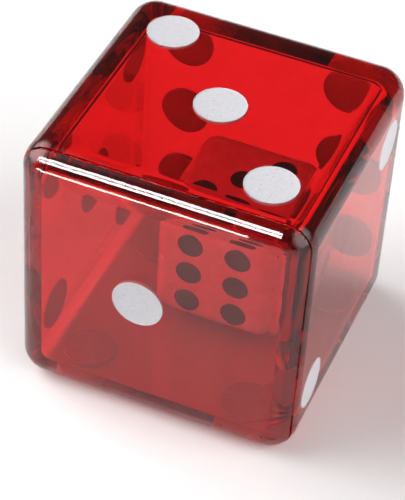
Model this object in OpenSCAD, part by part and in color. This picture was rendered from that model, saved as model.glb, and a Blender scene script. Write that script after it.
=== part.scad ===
// A hollow clear red die, one inch across, with a small white die lying loose inside it.
// The shell is a five-walled box closed by a glued cap. Every pip is a disc of enamel set into
// its own shallow socket. +X is right, -Y is the capped face and +Z is up, and the origin is the
// middle of the bottom face.

/* [Shell] */
// Length of the shell's side
shell_size = 25.4; // [24:0.1:40]
// Radius of the shell's rounded outer edges
shell_edge_r = 2.5; // [1:0.1:2.7]
// Thickness of the shell's walls
wall = 2.2; // [1.5:0.1:2.4]
// Thickness of the cap
cap_t = 1.5; // [1.2:0.1:2.4]
// Radius of the cavity's rounded edges
cavity_edge_r = 0.8; // [0.4:0.1:1]

/* [Glued seam] */
// Depth of the fine groove round the seam
groove_depth = 0.12; // [0.05:0.01:0.3]
// Width of that groove, half of it in each part
groove_width = 0.2; // [0.1:0.01:0.4]

/* [Shell pips] */
// Diameter of a shell pip
shell_pip_d = 4.5; // [3:0.1:5]
// Distance from a face's middle line to its outer pips
shell_pip_pitch = 7.5; // [5.5:0.1:7.7]
// How far the cap's one lies to the left of the middle
one_left = 1.4; // [0:0.1:5]
// How far the cap's one lies above the middle
one_up = 0.3; // [-5:0.1:5]
// Depth of a shell pip's socket
shell_socket = 0.6; // [0.3:0.05:0.9]
// How far the enamel lies below the face
shell_enamel_drop = 0.06; // [0:0.02:0.24]

/* [Loose die] */
// Length of the loose die's side
loose_size = 11.2; // [10.6:0.1:12]
// Radius of the loose die's rounded edges
loose_edge_r = 1.5; // [1:0.1:1.6]
// How far the loose die lies to the right of the shell's middle
loose_x = 1.2; // [-3:0.1:3]
// How far the loose die lies behind the shell's middle
loose_y = 4.1; // [-3:0.1:4.1]
// Gap between the loose die and the cavity's floor
loose_lift = 0.05; // [0.02:0.01:0.1]
// Diameter of a loose die's pip
loose_pip_d = 2.4; // [1:0.1:2.5]
// Distance from a face's middle line to its outer pips
loose_pip_pitch = 2.7; // [2:0.1:3]
// Distance from the six's middle line to its columns
loose_six_column = 2.2; // [1.5:0.1:3]
// Distance between the six's rows
loose_six_row = 3.2; // [2.6:0.1:3.2]
// Depth of a loose die's pip socket
loose_socket = 0.35; // [0.2:0.05:0.6]
// How far the enamel lies below the face
loose_enamel_drop = 0.05; // [0:0.05:0.15]

/* [Hidden] */
$fn = 64;
overrun = 1;
cavity_size = shell_size - 2 * wall;
seam_y = -shell_size / 2 + cap_t;
// The seam may lie in the rounded front edge, where the outline is smaller and its corners tighter.
seam_r = sqrt(pow(shell_edge_r, 2) - pow(max(shell_edge_r - cap_t, 0), 2));
seam_size = shell_size - 2 * (shell_edge_r - seam_r);

// The turn that brings a drawing on the XY plane to each face, as seen from outside the die.
FACE_TURNS = [
    ["top", [0, 0, 0]],
    ["bottom", [180, 0, 0]],
    ["front", [90, 0, 0]],
    ["back", [90, 0, 180]],
    ["right", [90, 0, 90]],
    ["left", [90, 0, -90]]
];

// Where each pip of a face lies, in steps across the face and up it.
ONE = [[0, 0]];
TWO = [[-1, -1], [1, 1]];
THREE_RISING = [[-1, -1], [0, 0], [1, 1]];
THREE_FALLING = [[-1, 1], [0, 0], [1, -1]];
FOUR = [[-1, -1], [1, -1], [-1, 1], [1, 1]];
FIVE = concat(ONE, FOUR);
SIX = [for (row = [-1, 0, 1], column = [-1, 1]) [column, row]];

// The cap's one isn't quite in the middle of its face.
CAP_ONE = [[-one_left, one_up] / shell_pip_pitch];

SHELL_FACES = [
    ["front", CAP_ONE],
    ["right", TWO],
    ["top", THREE_FALLING],
    ["bottom", FOUR],
    ["left", FIVE],
    ["back", SIX]
];
LOOSE_FACES = [
    ["back", ONE],
    ["left", TWO],
    ["top", THREE_RISING],
    ["bottom", FOUR],
    ["right", FIVE],
    ["front", SIX]
];

// The loose die's six has closer columns and wider rows than its other faces.
function loose_spacing(count) =
    count == 6
    ? [loose_six_column, loose_six_row]
    : [loose_pip_pitch, loose_pip_pitch];

// One row for each pip: its node's name, its face, and its place on that face.
SHELL_PIPS = [
    for (face = SHELL_FACES, i = [0 : len(face[1]) - 1])
        [str("shell_pip_", face[0], "_", i + 1), face[0], face[1][i] * shell_pip_pitch]
];
LOOSE_PIPS = [
    for (face = LOOSE_FACES, i = [0 : len(face[1]) - 1])
        let (step = face[1][i], spacing = loose_spacing(len(face[1])))
            [
                str("loose_pip_", face[0], "_", i + 1),
                face[0],
                [step[0] * spacing[0], step[1] * spacing[1]]
            ]
];

// A block as wide as it is high, with every edge and corner rounded, centred on the origin.
module rounded_block(size, depth, edge_r) {
    straight = size - 2 * edge_r;
    straight_y = depth - 2 * edge_r;
    ends = [-straight / 2, straight / 2];
    ends_y = [-straight_y / 2, straight_y / 2];
    cube([size, straight_y, straight], center = true);
    cube([straight, depth, straight], center = true);
    cube([straight, straight_y, size], center = true);
    for (x = ends, y = ends_y)
        translate([x, y, 0])
            cylinder(h = straight, r = edge_r, center = true);
    for (x = ends, z = ends)
        translate([x, 0, z])
            rotate([90, 0, 0])
                cylinder(h = straight_y, r = edge_r, center = true);
    for (y = ends_y, z = ends)
        translate([0, y, z])
            rotate([0, 90, 0])
                cylinder(h = straight, r = edge_r, center = true);
    for (x = ends, y = ends_y, z = ends)
        translate([x, y, z])
            rotate([90, 0, 0])
                sphere(r = edge_r);
}

module rounded_cube(size, edge_r) {
    rounded_block(size, size, edge_r);
}

// A square bar with rounded long edges that runs from front_y towards the back.
module square_bar(size, edge_r, front_y, depth) {
    straight = size - 2 * edge_r;
    ends = [-straight / 2, straight / 2];
    translate([0, front_y + depth, 0])
        rotate([90, 0, 0])
            linear_extrude(height = depth) {
                square([size, straight], center = true);
                square([straight, size], center = true);
                for (x = ends, y = ends)
                    translate([x, y])
                        circle(r = edge_r);
            }
}

// What lies behind the seam (side = 1) or in front of it (side = -1) of a solid die.
module shell_half(side) {
    intersection() {
        rounded_cube(shell_size, shell_edge_r);
        translate([0, seam_y + side * shell_size, 0])
            cube(2 * shell_size, center = true);
    }
}

// The room inside the box, which runs out through its open front.
module cavity() {
    depth = cavity_size / 2 - seam_y + 2 * cavity_edge_r;
    translate([0, (cavity_size - depth) / 2, 0])
        rounded_block(cavity_size, depth, cavity_edge_r);
}

// The groove that runs round the shell where its two parts meet.
module seam_groove() {
    difference() {
        translate([0, seam_y, 0])
            cube([2 * shell_size, groove_width, 2 * shell_size], center = true);
        square_bar(
            seam_size - 2 * groove_depth,
            seam_r - groove_depth,
            seam_y - groove_width,
            2 * groove_width
        );
    }
}

// A disc at a pip's place, from one depth below the die's face up to another.
module pip_disc(pip, size, diameter, bottom_depth, top_depth) {
    rotate(FACE_TURNS[search([pip[1]], FACE_TURNS)[0]][1])
        translate([pip[2][0], pip[2][1], size / 2 - bottom_depth])
            cylinder(h = bottom_depth - top_depth, d = diameter);
}

module shell_sockets() {
    for (pip = SHELL_PIPS)
        pip_disc(pip, shell_size, shell_pip_d, shell_socket, -overrun);
}

module loose_sockets() {
    for (pip = LOOSE_PIPS)
        pip_disc(pip, loose_size, loose_pip_d, loose_socket, -overrun);
}

module at_shell_centre() {
    translate([0, 0, shell_size / 2])
        children();
}

module at_loose_centre() {
    translate([loose_x, loose_y, wall + loose_lift + loose_size / 2])
        children();
}

// Five walls in one moulding, open at the front.
module shell_box() {
    color("crimson", 0.5)
        at_shell_centre()
            difference() {
                shell_half(1);
                cavity();
                seam_groove();
                shell_sockets();
            }
}

// The front wall, which is glued to the rim of the box's open front.
module shell_cap() {
    color("crimson", 0.5)
        at_shell_centre()
            difference() {
                shell_half(-1);
                seam_groove();
                shell_sockets();
            }
}

module loose_body() {
    color("white")
        at_loose_centre()
            difference() {
                rounded_cube(loose_size, loose_edge_r);
                loose_sockets();
            }
}

module shell_pip(pip) {
    color("white")
        at_shell_centre()
            pip_disc(pip, shell_size, shell_pip_d, shell_socket, shell_enamel_drop);
}

module loose_pip(pip) {
    color("black")
        at_loose_centre()
            pip_disc(pip, loose_size, loose_pip_d, loose_socket, loose_enamel_drop);
}

shell_box();
shell_cap();
loose_body();
for (pip = SHELL_PIPS)
    shell_pip(pip);
for (pip = LOOSE_PIPS)
    loose_pip(pip);
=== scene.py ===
import math

import bmesh
import bpy
from mathutils import Matrix, Quaternion, Vector


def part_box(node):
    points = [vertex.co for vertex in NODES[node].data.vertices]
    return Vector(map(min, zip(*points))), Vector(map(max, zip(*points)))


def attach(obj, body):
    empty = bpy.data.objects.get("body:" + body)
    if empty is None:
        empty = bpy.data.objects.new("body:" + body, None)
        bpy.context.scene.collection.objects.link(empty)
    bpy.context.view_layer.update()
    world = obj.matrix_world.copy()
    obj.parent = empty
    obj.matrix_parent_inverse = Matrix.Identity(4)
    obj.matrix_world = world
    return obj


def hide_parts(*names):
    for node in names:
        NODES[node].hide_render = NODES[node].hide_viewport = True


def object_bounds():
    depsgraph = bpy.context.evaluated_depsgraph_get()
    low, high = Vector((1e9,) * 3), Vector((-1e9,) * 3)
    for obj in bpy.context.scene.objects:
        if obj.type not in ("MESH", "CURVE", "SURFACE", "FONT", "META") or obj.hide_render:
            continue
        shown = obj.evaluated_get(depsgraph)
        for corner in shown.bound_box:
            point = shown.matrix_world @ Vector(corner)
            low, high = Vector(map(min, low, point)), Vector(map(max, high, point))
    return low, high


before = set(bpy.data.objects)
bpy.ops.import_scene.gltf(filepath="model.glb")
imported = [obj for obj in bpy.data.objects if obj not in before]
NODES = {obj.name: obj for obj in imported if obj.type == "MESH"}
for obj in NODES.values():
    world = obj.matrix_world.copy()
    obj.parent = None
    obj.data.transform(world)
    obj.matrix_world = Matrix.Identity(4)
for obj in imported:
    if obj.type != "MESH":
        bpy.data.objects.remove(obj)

# The visual model of a hollow clear red die with a small white die lying loose inside it.
# Lengths are in metres. Azimuth 0 is straight in front of the capped face, and it grows towards +X.

CAD_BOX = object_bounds()
SHELL_CENTRE = sum(CAD_BOX, Vector()) / 2
MM = 0.001

# Moulded plastic that is glued or poured against plastic shows no air gap, so a visual piece
# reaches this far into the plastic that it is bonded to.
BOND = 0.02 * MM

# Camera: the view that a perspective fit of the cube gives.
CAMERA_AIM = Vector((0, -1.83, 10.66)) * MM
CAMERA_AZIMUTH = 20.16
CAMERA_ELEVATION = 42.43
CAMERA_ROLL = 4.03
CAMERA_DISTANCE = 181 * MM
CAMERA_LENS = 150.87
CAMERA_CLIP_START = 10 * MM

# The studio's soft glows: azimuth, elevation and radiance of each. A glow is full up to the first
# angle from its middle, and gone at the second.
GLOWS = [(80, 30, 3.4), (-86, 33, 5.4)]
GLOW_FULL = 12
GLOW_GONE = 44
STUDIO_DIM = 0.1

# The light panels that show only as highlights: the angles above the floor between which the die
# sees each one, the X of its two ends from the die's middle, and its colour.
WINDOW_WHITE = (1, 1, 1)
WARM_WHITE = (1, 0.88, 0.78)
PANELS = {
    "window_low": (35, 43.3, -0.6, -0.117, WINDOW_WHITE),
    "window_high": (46.3, 55, -0.6, -0.117, WINDOW_WHITE),
    "low_strip": (1, 7.5, -0.5, -0.135, WARM_WHITE),
}
PANEL_DISTANCE = 0.6
PANEL_RADIANCE = 30

# The floor lies just below the die, so that their faces don't coincide.
FLOOR_HALF = 2.0
FLOOR_DROP = 0.05 * MM
FLOOR_COLOUR = (0.78, 0.78, 0.78)
FLOOR_ROUGHNESS = 0.9

# Clear red plastic. Over a metre, the dye absorbs DYE_DENSITY * (1 - colour) in each channel.
PLASTIC_IOR = 1.5
DYE_COLOUR = (0.956, 0.02, 0.08)
DYE_DENSITY = 1000
POLISHED = 0.003
SCUFFED = 0.02
SCUFFS_PER_MM = 2.5
SCUFF_START = 0.45
SCUFF_END = 0.8
WAVES_PER_MM = 0.35
WAVE_DETAIL = 1.0
WAVE_HEIGHT = 0.006 * MM

# Enamel's two shades and the colour of its specks of dust.
WHITE_ENAMEL = ((0.52, 0.51, 0.54), (0.58, 0.57, 0.60), (0.28, 0.27, 0.28))
BLACK_ENAMEL = ((0.010, 0.010, 0.012), (0.02, 0.02, 0.022), (0.05, 0.05, 0.05))
ENAMEL_SHADES_PER_MM = 3.0
ENAMEL_GLOSS_PER_MM = 1.5
ENAMEL_ROUGHNESS = (0.35, 0.5)
ENAMEL_GRAIN_PER_MM = 5.0
ENAMEL_GRAIN_HEIGHT = 0.01 * MM
ENAMEL_GRAIN_STRENGTH = 0.4

# A speck is solid up to the first distance from its middle, and gone at the second.
SPECKS_PER_MM = 2.2
SPECK_SOLID = 0.08
SPECK_GONE = 0.16
SPECK_STRENGTH = 0.8

# The loose die's plastic: its two shades.
WHITE_PLASTIC = ((0.47, 0.46, 0.44), (0.53, 0.52, 0.50))
PLASTIC_SHADES_PER_MM = 0.8
PLASTIC_GLOSS_PER_MM = 2.0
PLASTIC_ROUGHNESS = (0.18, 0.3)

# Noise mostly lies between these two values.
NOISE_LOW = 0.3
NOISE_HIGH = 0.7
NOISE_DETAIL = 4.0

# Enamel's shape: the meniscus at a pip's rim and the dish in its middle, as shares of its radius.
ENAMEL_SEGMENTS = 96
RIM_SHARE = 0.06
DISH_SHARE = 0.02
RIM_STEPS = 6
DISH_STEPS = 8
RIM_LIFT = 0.04 * MM
SHARP_ANGLE = math.radians(40)


def new_material(name):
    """An empty material with its Principled shader linked to its output."""
    material = bpy.data.materials.new(name)
    material.use_nodes = True
    tree = material.node_tree
    tree.nodes.clear()
    output = tree.nodes.new("ShaderNodeOutputMaterial")
    shader = tree.nodes.new("ShaderNodeBsdfPrincipled")
    tree.links.new(shader.outputs["BSDF"], output.inputs["Surface"])
    return material, tree, shader, output


def texture(tree, kind, per_mm):
    """A texture node in the object's own space, with this many cycles or cells per millimetre."""
    place = tree.nodes.new("ShaderNodeTexCoord")
    made = tree.nodes.new(kind)
    made.inputs["Scale"].default_value = per_mm / MM
    tree.links.new(place.outputs["Object"], made.inputs["Vector"])
    return made


def noise(tree, per_mm, detail=NOISE_DETAIL):
    made = texture(tree, "ShaderNodeTexNoise", per_mm)
    made.inputs["Detail"].default_value = detail
    return made.outputs["Fac"]


def spread(tree, value, low, high, start=NOISE_LOW, end=NOISE_HIGH):
    """value mapped from start..end to low..high."""
    made = tree.nodes.new("ShaderNodeMapRange")
    made.inputs["From Min"].default_value = start
    made.inputs["From Max"].default_value = end
    made.inputs["To Min"].default_value = low
    made.inputs["To Max"].default_value = high
    tree.links.new(value, made.inputs["Value"])
    return made.outputs["Result"]


def two_shades(tree, value, low, high):
    """A colour between two colours, by value."""
    ramp = tree.nodes.new("ShaderNodeValToRGB")
    ramp.color_ramp.elements[0].position = NOISE_LOW
    ramp.color_ramp.elements[0].color = (*low, 1)
    ramp.color_ramp.elements[1].position = NOISE_HIGH
    ramp.color_ramp.elements[1].color = (*high, 1)
    tree.links.new(value, ramp.inputs["Fac"])
    return ramp.outputs["Color"]


def add_specks(tree, colour, speck_colour):
    """colour with fine specks of another colour in it."""
    cells = texture(tree, "ShaderNodeTexVoronoi", SPECKS_PER_MM)
    amount = spread(tree, cells.outputs["Distance"], SPECK_STRENGTH, 0, SPECK_SOLID, SPECK_GONE)
    mix = tree.nodes.new("ShaderNodeMixRGB")
    mix.inputs["Color2"].default_value = (*speck_colour, 1)
    tree.links.new(amount, mix.inputs["Fac"])
    tree.links.new(colour, mix.inputs["Color1"])
    return mix.outputs["Color"]


def add_bump(tree, shader, value, height, strength=1.0):
    """A bump that is as high as height where value is 1."""
    made = tree.nodes.new("ShaderNodeBump")
    made.inputs["Distance"].default_value = height
    made.inputs["Strength"].default_value = strength
    tree.links.new(value, made.inputs["Height"])
    tree.links.new(made.outputs["Normal"], shader.inputs["Normal"])


def clear_red():
    """Clear dyed plastic, polished but slightly wavy, with faint scuffs."""
    material, tree, shader, output = new_material("clear_red_plastic")
    shader.inputs["Base Color"].default_value = (1, 1, 1, 1)
    shader.inputs["IOR"].default_value = PLASTIC_IOR
    shader.inputs["Transmission Weight"].default_value = 1.0
    scuffs = spread(tree, noise(tree, SCUFFS_PER_MM), POLISHED, SCUFFED, SCUFF_START, SCUFF_END)
    tree.links.new(scuffs, shader.inputs["Roughness"])
    add_bump(tree, shader, noise(tree, WAVES_PER_MM, WAVE_DETAIL), WAVE_HEIGHT)
    dye = tree.nodes.new("ShaderNodeVolumeAbsorption")
    dye.inputs["Color"].default_value = (*DYE_COLOUR, 1)
    dye.inputs["Density"].default_value = DYE_DENSITY
    tree.links.new(dye.outputs["Volume"], output.inputs["Volume"])
    return material


def enamel_finish(name, low, high, speck_colour):
    """Set enamel: slightly uneven, with fine specks of dust."""
    material, tree, shader, _ = new_material(name)
    shades = two_shades(tree, noise(tree, ENAMEL_SHADES_PER_MM), low, high)
    tree.links.new(add_specks(tree, shades, speck_colour), shader.inputs["Base Color"])
    gloss = spread(tree, noise(tree, ENAMEL_GLOSS_PER_MM), *ENAMEL_ROUGHNESS)
    tree.links.new(gloss, shader.inputs["Roughness"])
    grain = noise(tree, ENAMEL_GRAIN_PER_MM)
    add_bump(tree, shader, grain, ENAMEL_GRAIN_HEIGHT, ENAMEL_GRAIN_STRENGTH)
    return material


def white_plastic():
    """Opaque moulded plastic in two close shades, with an uneven polish."""
    material, tree, shader, _ = new_material("white_plastic")
    shades = two_shades(tree, noise(tree, PLASTIC_SHADES_PER_MM), *WHITE_PLASTIC)
    tree.links.new(shades, shader.inputs["Base Color"])
    gloss = spread(tree, noise(tree, PLASTIC_GLOSS_PER_MM), *PLASTIC_ROUGHNESS)
    tree.links.new(gloss, shader.inputs["Roughness"])
    return material


def floor_finish():
    material, _, shader, _ = new_material("floor")
    shader.inputs["Base Color"].default_value = (*FLOOR_COLOUR, 1)
    shader.inputs["Roughness"].default_value = FLOOR_ROUGHNESS
    return material


def link(name, data):
    """A new object in the scene that holds this mesh, light or camera."""
    made = bpy.data.objects.new(name, data)
    bpy.context.scene.collection.objects.link(made)
    return made


def set_material(mesh, material):
    mesh.materials.clear()
    mesh.materials.append(material)


def bonded_cap(material):
    """The cap, its back face pressed into the box's rim as a solvent weld leaves it."""
    mesh = NODES["shell_cap"].data.copy()
    mesh.name = "cap_bonded"
    set_material(mesh, material)
    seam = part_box("shell_cap")[1].y
    for vertex in mesh.vertices:
        if vertex.co.y > seam - BOND / 2:
            vertex.co.y += BOND
    cap = link("cap_bonded", mesh)
    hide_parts("shell_cap")
    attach(cap, "shell")


def enamel_profile(radius, height):
    """Radius and height of an enamel filling, from the middle of its flat bottom to the middle of
    its dished top. The enamel climbs the socket's wall as a meniscus."""
    points = [(0, 0), (radius, 0)]
    rim = radius * RIM_SHARE
    for step in range(RIM_STEPS + 1):
        angle = math.pi / 2 * step / RIM_STEPS
        points.append((radius - rim * math.sin(angle), height + RIM_LIFT * (1 - math.sin(angle))))
    inner = radius - rim
    for step in range(1, DISH_STEPS + 1):
        r = inner * (1 - step / DISH_STEPS)
        points.append((r, height - radius * DISH_SHARE * (1 - (r / inner) ** 2)))
    return points


def ring(made, radius, height):
    """A circle of new vertices round the Z axis, or one vertex where the radius is 0."""
    count = ENAMEL_SEGMENTS if radius > 0 else 1
    turns = [2 * math.pi * i / count for i in range(count)]
    return [made.verts.new((radius * math.cos(t), radius * math.sin(t), height)) for t in turns]


def lathe(name, profile):
    """A closed solid from a profile that starts and ends on the Z axis."""
    made = bmesh.new()
    rings = [ring(made, radius, height) for radius, height in profile]
    for low, high in zip(rings, rings[1:]):
        for i in range(ENAMEL_SEGMENTS):
            j = (i + 1) % ENAMEL_SEGMENTS
            corners = [low[i % len(low)], low[j % len(low)], high[j % len(high)], high[i % len(high)]]
            made.faces.new(list(dict.fromkeys(corners)))
    bmesh.ops.recalc_face_normals(made, faces=made.faces)
    mesh = bpy.data.meshes.new(name)
    made.to_mesh(mesh)
    made.free()
    for face in mesh.polygons:
        face.use_smooth = True
    mesh.set_sharp_from_angle(angle=SHARP_ANGLE)
    return mesh


def enamel(node, body, centre, material):
    """The filling of one pip, which stands for its CAD disc. centre is the middle of its die."""
    low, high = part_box(node)
    size = high - low
    middle = (low + high) / 2
    thin = min(range(3), key=lambda axis: size[axis])
    outward = Vector((0, 0, 0))
    outward[thin] = math.copysign(1, middle[thin] - centre[thin])
    radius = max(size) / 2 + BOND
    height = size[thin] + BOND
    mesh = lathe(node + "_enamel", enamel_profile(radius, height))
    set_material(mesh, material)
    bottom = middle - outward * (size[thin] / 2 + BOND)
    turn = outward.to_track_quat("Z", "Y").to_matrix().to_4x4()
    mesh.transform(Matrix.Translation(bottom) @ turn)
    filling = link(node + "_enamel", mesh)
    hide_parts(node)
    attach(filling, body)


def finish_nodes():
    """Materials for the CAD nodes, and the pieces that stand for some of them."""
    plastic = clear_red()
    white = enamel_finish("white_enamel", *WHITE_ENAMEL)
    black = enamel_finish("black_enamel", *BLACK_ENAMEL)
    moulded = {"shell_box": plastic, "shell_cap": plastic, "loose_body": white_plastic()}
    loose_centre = sum(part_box("loose_body"), Vector()) / 2
    for name, node in NODES.items():
        if name in moulded:
            set_material(node.data, moulded[name])
        elif name.startswith("shell_pip"):
            set_material(node.data, white)
            enamel(name, "shell", SHELL_CENTRE, white)
        else:
            set_material(node.data, black)
            enamel(name, "inner_die", loose_centre, black)
    bonded_cap(plastic)


def direction(azimuth, elevation):
    """The unit vector towards this azimuth and elevation, in degrees."""
    a = math.radians(azimuth)
    e = math.radians(elevation)
    return Vector((math.sin(a) * math.cos(e), -math.cos(a) * math.cos(e), math.sin(e)))


def add_floor():
    ends = [(-1, -1), (1, -1), (1, 1), (-1, 1)]
    corners = [(x * FLOOR_HALF, y * FLOOR_HALF, -FLOOR_DROP) for x, y in ends]
    mesh = bpy.data.meshes.new("floor")
    mesh.from_pydata(corners, [], [(0, 1, 2, 3)])
    set_material(mesh, floor_finish())
    link("floor", mesh)


def add_panel(name, low, high, left, right, colour):
    """A light panel in front of the die, which shows only as a highlight. Its long side runs along
    X, from left to right."""
    middle = (low + high) / 2
    width = right - left
    height = 2 * PANEL_DISTANCE * math.tan(math.radians(high - low) / 2)
    light = bpy.data.lights.new(name, "AREA")
    light.shape = "RECTANGLE"
    light.size = width
    light.size_y = height
    light.energy = PANEL_RADIANCE * math.pi * width * height
    light.color = colour
    made = link(name, light)
    across = Vector(((left + right) / 2, 0, 0))
    made.location = SHELL_CENTRE + across + direction(0, middle) * PANEL_DISTANCE
    made.rotation_euler = (math.radians(90 - middle), 0, 0)
    made.visible_camera = False
    made.visible_diffuse = False
    made.visible_transmission = False


def glow(tree, place, azimuth, elevation, radiance):
    """The radiance of one glow, by the direction that place gives."""
    facing = tree.nodes.new("ShaderNodeVectorMath")
    facing.operation = "DOT_PRODUCT"
    facing.inputs[1].default_value = direction(azimuth, elevation)
    tree.links.new(place, facing.inputs[0])
    start = math.cos(math.radians(GLOW_GONE))
    end = math.cos(math.radians(GLOW_FULL))
    level = spread(tree, facing.outputs["Value"], STUDIO_DIM / len(GLOWS), radiance, start, end)
    level.node.interpolation_type = "SMOOTHSTEP"
    return level


def add_world():
    """A dim studio with a broad soft glow on each side of the die."""
    world = bpy.data.worlds.new("studio")
    bpy.context.scene.world = world
    world.use_nodes = True
    tree = world.node_tree
    place = tree.nodes.new("ShaderNodeTexCoord").outputs["Generated"]
    first, second = [glow(tree, place, *values) for values in GLOWS]
    total = tree.nodes.new("ShaderNodeMath")
    total.operation = "ADD"
    tree.links.new(first, total.inputs[0])
    tree.links.new(second, total.inputs[1])
    background = tree.nodes["Background"]
    background.inputs["Color"].default_value = (1, 1, 1, 1)
    tree.links.new(total.outputs["Value"], background.inputs["Strength"])


def add_camera():
    camera = bpy.data.cameras.new("camera")
    camera.lens = CAMERA_LENS
    camera.clip_start = CAMERA_CLIP_START
    made = link("camera", camera)
    back = direction(CAMERA_AZIMUTH, CAMERA_ELEVATION)
    made.location = CAMERA_AIM + back * CAMERA_DISTANCE
    roll = Quaternion((0, 0, 1), math.radians(CAMERA_ROLL))
    made.rotation_mode = "QUATERNION"
    made.rotation_quaternion = back.to_track_quat("Z", "Y") @ roll
    bpy.context.scene.camera = made


def set_light_paths():
    """Enough bounces for light to pass the shell's walls, and colours shown as they are."""
    cycles = bpy.context.scene.cycles
    cycles.max_bounces = 32
    cycles.transmission_bounces = 32
    cycles.glossy_bounces = 16
    cycles.diffuse_bounces = 6
    bpy.context.scene.view_settings.view_transform = "Standard"


finish_nodes()
add_floor()
for panel, values in PANELS.items():
    add_panel(panel, *values)
add_world()
add_camera()
set_light_paths()
